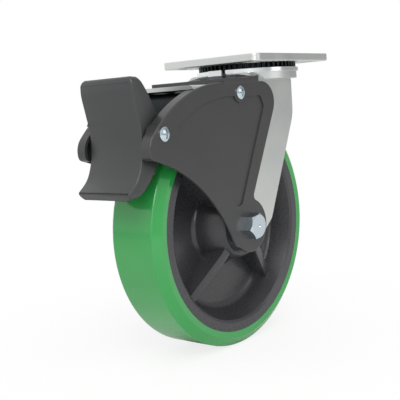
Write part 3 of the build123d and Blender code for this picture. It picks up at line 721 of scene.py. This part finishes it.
class CASTOR_OT_pedal(bpy.types.Operator):
    """Mould the pedal: a waisted face with rolled edges, side walls, a hub and a cam"""

    bl_idname = "castor.pedal"
    bl_label = "Pedal"

    def execute(self, context):
        sizes = context.scene.castor_mouldings
        bore_r = 5.05 * MM
        crown_r = 2.6 * MM
        hub_width = sizes.pedal_width - 0.4 * MM
        face, back, top = self.side_view()
        crown = rounded_corner(back[-1], top, face[0], crown_r)
        pedal = side_plate("pedal_moulding", [*face, *back, *crown], sizes.pedal_width)
        combine(pedal, self.front_view(sizes, face, back, top), "INTERSECT")
        combine(pedal, self.hollow(sizes, face), "DIFFERENCE")
        combine(pedal, self.pivot_bar(sizes.pedal_hub, hub_width), "UNION")
        combine(pedal, self.cam(sizes), "UNION")
        combine(pedal, self.pivot_bar(bore_r, 2 * sizes.pedal_width), "DIFFERENCE")
        # short edges that the cuts leave are welded, so that the rims roll evenly
        apply_modifier(pedal, "WELD", merge_threshold=0.3 * MM)
        apply_modifier(
            pedal,
            "BEVEL",
            width=sizes.pedal_edge,
            segments=3,
            limit_method="ANGLE",
            angle_limit=math.radians(40),
            use_clamp_overlap=False,
        )
        colours = context.scene.castor_finishes
        nylon = moulded_nylon("Glass-filled nylon, pedal", colours.pedal, SATIN, SATIN_GRAIN)
        finish_piece(pedal, nylon, "pedal", "pedal")
        return {"FINISHED"}

    def side_view(self):
        """The face from top to bottom, the back from bottom to top, and the top corner.

        The points are in millimetres along X and Z from the pivot.
        """

        def from_pivot(points):
            return [Vector((PEDAL_PIVOT.x + x * MM, PEDAL_PIVOT.z + z * MM)) for x, z in points]

        face = smooth_run(
            from_pivot(
                (
                    (-17.6, 38.3),
                    (-17.4, 30.3),
                    (-14.6, 17.3),
                    (-11.5, 1.3),
                    (-12.5, -15.7),
                    (-18.1, -30.7),
                    (-28.4, -40.4),
                )
            )
        )
        back = smooth_run(
            from_pivot(
                (
                    (-25.9, -45.7),
                    (-16.1, -43.0),
                    (-5.1, -33.7),
                    (4.2, -21.7),
                    (10.3, -3.7),
                    (7.6, 13.3),
                    (-1.1, 30.3),
                    (-9.1, 41.8),
                )
            )
        )
        return face, back, from_pivot(((-16.6, 42.8),))[0]

    def front_view(self, sizes, face, back, top):
        """A block with the rounded corners that show from the front, longer than the pedal."""
        past_foot, length = 10 * MM, 70 * MM
        half, foot = sizes.pedal_width / 2, back[0].y
        corners = [(-half, top.y), (half, top.y), (half, foot), (-half, foot)]
        outline = []
        for i, corner in enumerate(corners):
            before, after = corners[i - 1], corners[(i + 1) % 4]
            outline += rounded_corner(before, corner, after, sizes.pedal_corner)
        rear_x = face[-1].x - past_foot
        block = flat_outline("corners", [(rear_x, y, z) for y, z in outline])
        in_edit_mode(
            block,
            (
                bpy.ops.mesh.extrude_region_move,
                {"TRANSFORM_OT_translate": {"value": (length, 0, 0)}},
            ),
            (bpy.ops.mesh.normals_make_consistent, {"inside": False}),
        )
        return block

    def hollow(self, sizes, face):
        """The open space behind the face and between the side walls."""
        wall = sizes.pedal_wall
        # the face's first and last stretches stay solid, as the top edge and the lip
        top_edge, lip = 2, 4
        inside = []
        for before, after in zip(face[top_edge : -lip - 1], face[top_edge + 1 : -lip]):
            along = (after - before).normalized()
            inside.append(before + Vector((-along.y, along.x)) * wall)
        open_x = PEDAL_PIVOT.x + 2 * sizes.pedal_hub
        outline = [*inside, (open_x, inside[-1].y), (open_x, inside[0].y)]
        return side_plate("hollow", outline, sizes.pedal_width - 2 * wall)

    def pivot_bar(self, radius, width):
        """A round bar along the pivot."""
        return add_piece(
            bpy.ops.mesh.primitive_cylinder_add,
            "pivot_bar",
            vertices=64,
            radius=radius,
            depth=width,
            location=(PEDAL_PIVOT.x, 0, PEDAL_PIVOT.z),
            rotation=(math.pi / 2, 0, 0),
        )

    def cam(self, sizes):
        """The cam that presses the lever's tail, a thick rib from the hub to the face."""
        hub, x, z = sizes.pedal_hub, PEDAL_PIVOT.x, PEDAL_PIVOT.z
        thickness = 16 * MM
        tip_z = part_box("pedal")[0].z + 26 * MM
        outline = [
            (x - 9 * MM, z + hub),
            (x, z + hub - 1 * MM),
            (x + hub - 1 * MM, z),
            (x + 5 * MM, tip_z + 6 * MM),
            (x - 1 * MM, tip_z + 1 * MM),
            (x - 10 * MM, tip_z + 2 * MM),
        ]
        return side_plate("cam", outline, thickness)


class CASTOR_OT_core(bpy.types.Operator):
    """Mould the wheel's core: hub, web and rim in one bowl, with ribs across it"""

    bl_idname = "castor.core"
    bl_label = "Wheel core"

    def execute(self, context):
        sizes = context.scene.castor_mouldings
        race_low, race_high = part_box("hub_race")
        core_low, core_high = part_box("wheel_core")
        seat_gap = 0.02 * MM
        bore_r = (race_high.x - race_low.x) / 2 + seat_gap
        rim_r = (core_high.x - core_low.x) / 2
        hub_y, rim_y, web_y = core_high.y, 24.8 * MM, 3.5 * MM
        # from the rim's lip down to the web, along it and up to the hub's edge, as (y, radius)
        lip = (rim_y - 1.4 * MM, 79.8 * MM)
        dish = (web_y, 71 * MM)
        foot = (web_y, 34 * MM)
        hub_edge = (hub_y - 1.5 * MM, 26 * MM)
        half = [
            (rim_y, rim_r),
            (rim_y, 82 * MM),
            lip,
            *rounded_corner(lip, dish, foot, sizes.dish_round, 12),
            *rounded_corner(dish, foot, hub_edge, sizes.hub_round, 10),
            hub_edge,
            (hub_y, 24.5 * MM),
            (hub_y, bore_r),
        ]
        section = half + [(-y, r) for y, r in reversed(half)]
        core = turned(
            "core_moulding",
            [(AXLE.x, y, AXLE.z + r) for y, r in section],
            AXLE,
            (0, 1, 0),
        )
        for quarter in range(4):
            angle = math.radians(45 + 90 * quarter)
            combine(core, self.rib(sizes, angle, hub_y), "UNION")
        colours = context.scene.castor_finishes
        nylon = moulded_nylon("Glass-filled nylon, core", colours.core, SMOOTH, SMOOTH_GRAIN)
        finish_piece(core, nylon, "wheel", "wheel_core")
        return {"FINISHED"}

    def rib(self, sizes, angle, hub_y):
        """One rib on both sides of the web, lower at the rim than at the hub."""
        half = [
            (22 * MM, hub_y - 3 * MM),
            (34 * MM, hub_y - 4.5 * MM),
            (76 * MM, 14 * MM),
            (78 * MM, 12.6 * MM),
        ]
        outline = half + [(r, -y) for r, y in reversed(half)]
        out = Vector((math.cos(angle), 0, math.sin(angle)))
        across = Vector((-out.z, 0, out.x)) * sizes.rib_thickness
        start = AXLE - across / 2
        rib = flat_outline("rib", [start + out * r + Vector((0, y, 0)) for r, y in outline])
        in_edit_mode(
            rib,
            (bpy.ops.mesh.extrude_region_move, {"TRANSFORM_OT_translate": {"value": across}}),
            (bpy.ops.mesh.normals_make_consistent, {"inside": False}),
        )
        apply_modifier(rib, "BEVEL", width=0.7 * MM, segments=2, limit_method="ANGLE")
        return rib


class CASTOR_OT_roof(bpy.types.Operator):
    """Mould the roof: a flat lid that flares up into a collar round the bearing"""

    bl_idname = "castor.roof"
    bl_label = "Roof"

    def execute(self, context):
        sizes = context.scene.castor_mouldings
        low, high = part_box("roof_cover")
        ring_gap = 1.0 * MM
        lid_z, lip_z = high.z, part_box("dust_ring")[0].z - ring_gap
        collar_bore = 43.9 * MM
        front_x = -38 * MM
        # the blank is wider than the lid, and is trimmed to it afterwards
        blank_r = (0.5 * MM - low.x) * 1.12
        lip, foot = Vector((sizes.collar_radius, lip_z)), Vector((sizes.collar_foot, lid_z))
        # the flare is a line that sags below the straight one from the lip to its foot
        sag = (lip + foot) / 2 - Vector((0, 0.7 * MM))
        section = [
            (collar_bore, low.z),
            (collar_bore, lip_z),
            lip,
            (lip + sag) / 2 - Vector((0, 0.25 * MM)),
            sag,
            (sag + foot) / 2 - Vector((0, 0.15 * MM)),
            foot,
            (blank_r, lid_z),
            (blank_r, low.z),
        ]
        roof = turned("roof_moulding", [(r, 0, z) for r, z in section], (0, 0, 0), (0, 0, 1))
        trim = self.block("trim", (low.x, front_x), high.y, (low.z, 0))
        combine(roof, trim, "INTERSECT")
        # clear of the fork's shoulders
        shoulder_x, shoulder_y = -42.4 * MM, 37 * MM
        shoulder_z = (-90 * MM, -13.9 * MM)
        shoulder = self.block("shoulder", (shoulder_x, 0), shoulder_y, shoulder_z)
        combine(roof, shoulder, "DIFFERENCE")
        apply_modifier(roof, "BEVEL", width=0.8 * MM, segments=3, limit_method="ANGLE")
        colours = context.scene.castor_finishes
        nylon = moulded_nylon("Glass-filled nylon, roof", colours.cover, SATIN, SATIN_GRAIN)
        finish_piece(roof, nylon, "fork", "roof_cover")
        return {"FINISHED"}

    def block(self, name, span_x, half_y, span_z):
        """A plain block to trim with."""
        corners = [
            (span_x[0], span_z[0]),
            (span_x[1], span_z[0]),
            (span_x[1], span_z[1]),
            (span_x[0], span_z[1]),
        ]
        return side_plate(name, corners, 2 * half_y)


class CASTOR_OT_plating(bpy.types.Operator):
    """Finish the plate, the fork and the bridge plate"""

    bl_idname = "castor.plating"
    bl_label = "Zinc plating"

    def execute(self, context):
        colours = context.scene.castor_finishes
        dress(
            zinc_plating("Zinc-plated steel", colours.zinc, roughness=0.36, spangle=22 * MM),
            "top_plate",
            "fork",
            "bridge_plate",
            "weld_nuts",
        )
        return {"FINISHED"}


class CASTOR_OT_swivel_bearing(bpy.types.Operator):
    """Finish the kingpin, races, balls and toothed ring"""

    bl_idname = "castor.swivel_bearing"
    bl_label = "Swivel bearing"

    def execute(self, context):
        colours = context.scene.castor_finishes
        dress(
            turned_steel(
                "Turned zinc-plated steel",
                colours.bright,
                roughness=0.20,
                centre=(0, 0, 0),
                axis="Z",
            ),
            "kingpin",
            "kingpin_nut",
            "dust_ring",
            "upper_race",
            "lower_race",
            "upper_balls",
            "lower_balls",
        )
        dress(black_oxide(colours.oxide), "swivel_lock_ring")
        return {"FINISHED"}


class CASTOR_OT_fasteners(bpy.types.Operator):
    """Finish the axle bolt, its nut and washer, the pins and the screws"""

    bl_idname = "castor.fasteners"
    bl_label = "Fasteners"

    def execute(self, context):
        colours = context.scene.castor_finishes
        dress(
            turned_steel(
                "Blue-passivated zinc", colours.blue, roughness=0.17, centre=AXLE, axis="Y"
            ),
            "axle_bolt",
            "axle_nut",
            "axle_washer",
            "cover_screws",
            "pedal_pin",
            "lever_pin",
        )
        return {"FINISHED"}


class CASTOR_OT_brake(bpy.types.Operator):
    """Finish the lever, the dog and the shoe"""

    bl_idname = "castor.brake"
    bl_label = "Brake"

    def execute(self, context):
        colours = context.scene.castor_finishes
        dress(black_oxide(colours.oxide), "brake_lever")
        dress(
            zinc_plating("Zinc-plated dog", colours.bright, roughness=0.30, spangle=6 * MM),
            "lock_dog",
        )
        dress(
            zinc_plating("Coated shoe steel", colours.shoe, roughness=0.45, spangle=9 * MM),
            "brake_shoe",
        )
        return {"FINISHED"}


class CASTOR_OT_studio(bpy.types.Operator):
    """Lay the paper, hang the lamps and set up the camera"""

    bl_idname = "castor.studio"
    bl_label = "Studio"

    def execute(self, context):
        studio = context.scene.castor_studio
        self.lay_paper(studio)
        self.hang_lamps(studio)
        self.fill_sky(context, studio)
        self.place_camera(context, studio)
        context.scene.view_settings.view_transform = "Standard"
        return {"FINISHED"}

    def lay_paper(self, studio):
        """One large sheet under the wheel."""
        paper = add_piece(bpy.ops.mesh.primitive_plane_add, "studio_paper", size=8.0)
        paper.location.z = FLOOR_Z
        paper.data.materials.append(studio_paper(studio.paper))

    def hang_lamps(self, studio):
        """A large soft lamp to the left and above, a fill on the right and a strip for glints."""
        castor_middle = Vector((-0.04, 0.0, -0.12))
        # name, place, width and height, power
        for name, place, size, power in (
            ("key", (-0.9, -0.5, 1.0), (1.1, 1.1), studio.key_power),
            ("fill", (0.3, -1.3, 0.35), (0.9, 0.9), studio.fill_power),
            ("strip", (-0.78, -0.66, 0.50), (0.14, 0.9), studio.strip_power),
        ):
            bpy.ops.object.light_add(type="AREA", location=place)
            lamp = bpy.context.object
            lamp.name = f"lamp_{name}"
            lamp.data.shape = "ELLIPSE"
            lamp.data.size, lamp.data.size_y = size
            lamp.data.energy = power
            aim = castor_middle - Vector(place)
            lamp.rotation_euler = aim.to_track_quat("-Z", "Y").to_euler()

    def fill_sky(self, context, studio):
        """Even light all round, white behind the object and in its reflections."""
        world = bpy.data.worlds.new("Studio sky")
        world.use_nodes = True
        context.scene.world = world
        tree = world.node_tree
        tree.nodes.clear()
        path = add(tree, "ShaderNodeLightPath")
        # the wall on the pedal's side is white, and the one that faces the covers is grey
        towards_grey = (0.75, -0.62, -0.22)
        direction = add(tree, "ShaderNodeTexCoord").outputs["Generated"]
        side = add(
            tree,
            "ShaderNodeVectorMath",
            {0: direction, 1: towards_grey},
            operation="DOT_PRODUCT",
        )
        wall = add(
            tree,
            "ShaderNodeMapRange",
            {
                "Value": side.outputs["Value"],
                "From Min": -0.2,
                "From Max": 0.85,
                "To Min": 1.0,
                "To Max": studio.grey_wall,
            },
            interpolation_type="SMOOTHSTEP",
        )
        reflected = add(
            tree,
            "ShaderNodeMix",
            {
                "Factor": path.outputs["Is Glossy Ray"],
                "A": studio.sky,
                "B": wall.outputs["Result"],
            },
        )
        strength = add(
            tree,
            "ShaderNodeMix",
            {
                "Factor": path.outputs["Is Camera Ray"],
                "A": reflected.outputs["Result"],
                "B": 1.0,
            },
        )
        sky = add(
            tree,
            "ShaderNodeBackground",
            {"Color": (1, 1, 1, 1), "Strength": strength.outputs["Result"]},
        )
        add(tree, "ShaderNodeOutputWorld", {"Surface": sky.outputs["Background"]})

    def place_camera(self, context, studio):
        """Low on the pedal's side, looking across the wheel."""
        data = bpy.data.cameras.new("Camera")
        data.lens = studio.lens
        data.sensor_width = 36.0
        camera = bpy.data.objects.new("Camera", data)
        context.scene.collection.objects.link(camera)
        place = (-0.575594, -0.416224, -0.037614)
        right = Vector((0.63370002, -0.77064426, -0.06731797))
        up = Vector((0.13644666, 0.02569319, 0.99031418))
        back = Vector((-0.76145032, -0.63674743, 0.12143362))
        turn = Matrix((right, up, back)).transposed().to_4x4()
        camera.matrix_world = Matrix.Translation(place) @ turn
        context.scene.camera = camera


class CASTOR_PT_panel(bpy.types.Panel):
    """The castor's colours and steps in the sidebar"""

    bl_idname = "CASTOR_PT_panel"
    bl_label = "Swivel castor"
    bl_space_type = "VIEW_3D"
    bl_region_type = "UI"
    bl_category = "Castor"

    def draw(self, context):
        scene = context.scene
        for group in (scene.castor_finishes, scene.castor_mouldings, scene.castor_studio):
            for name in group.__annotations__:
                self.layout.prop(group, name)
        for step in STEPS:
            self.layout.operator(step.bl_idname)


STEPS = (
    CASTOR_OT_studio,
    CASTOR_OT_mouldings,
    CASTOR_OT_pedal,
    CASTOR_OT_roof,
    CASTOR_OT_wheel,
    CASTOR_OT_core,
    CASTOR_OT_plating,
    CASTOR_OT_swivel_bearing,
    CASTOR_OT_fasteners,
    CASTOR_OT_brake,
)
CLASSES = (CastorFinishes, CastorMouldings, CastorStudio, *STEPS, CASTOR_PT_panel)


def register():
    """Register every class, and give the scene the groups of sizes and colours."""
    for cls in CLASSES:
        bpy.utils.register_class(cls)
    bpy.types.Scene.castor_finishes = bpy.props.PointerProperty(type=CastorFinishes)
    bpy.types.Scene.castor_mouldings = bpy.props.PointerProperty(type=CastorMouldings)
    bpy.types.Scene.castor_studio = bpy.props.PointerProperty(type=CastorStudio)


def unregister():
    """Take the groups and the classes away again."""
    del bpy.types.Scene.castor_studio
    del bpy.types.Scene.castor_mouldings
    del bpy.types.Scene.castor_finishes
    for cls in reversed(CLASSES):
        bpy.utils.unregister_class(cls)


def main():
    """Register the add-on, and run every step."""
    register()
    for step in STEPS:
        operator = getattr(bpy.ops.castor, step.bl_idname.split(".")[1])
        operator()


if __name__ == "__main__":
    main()
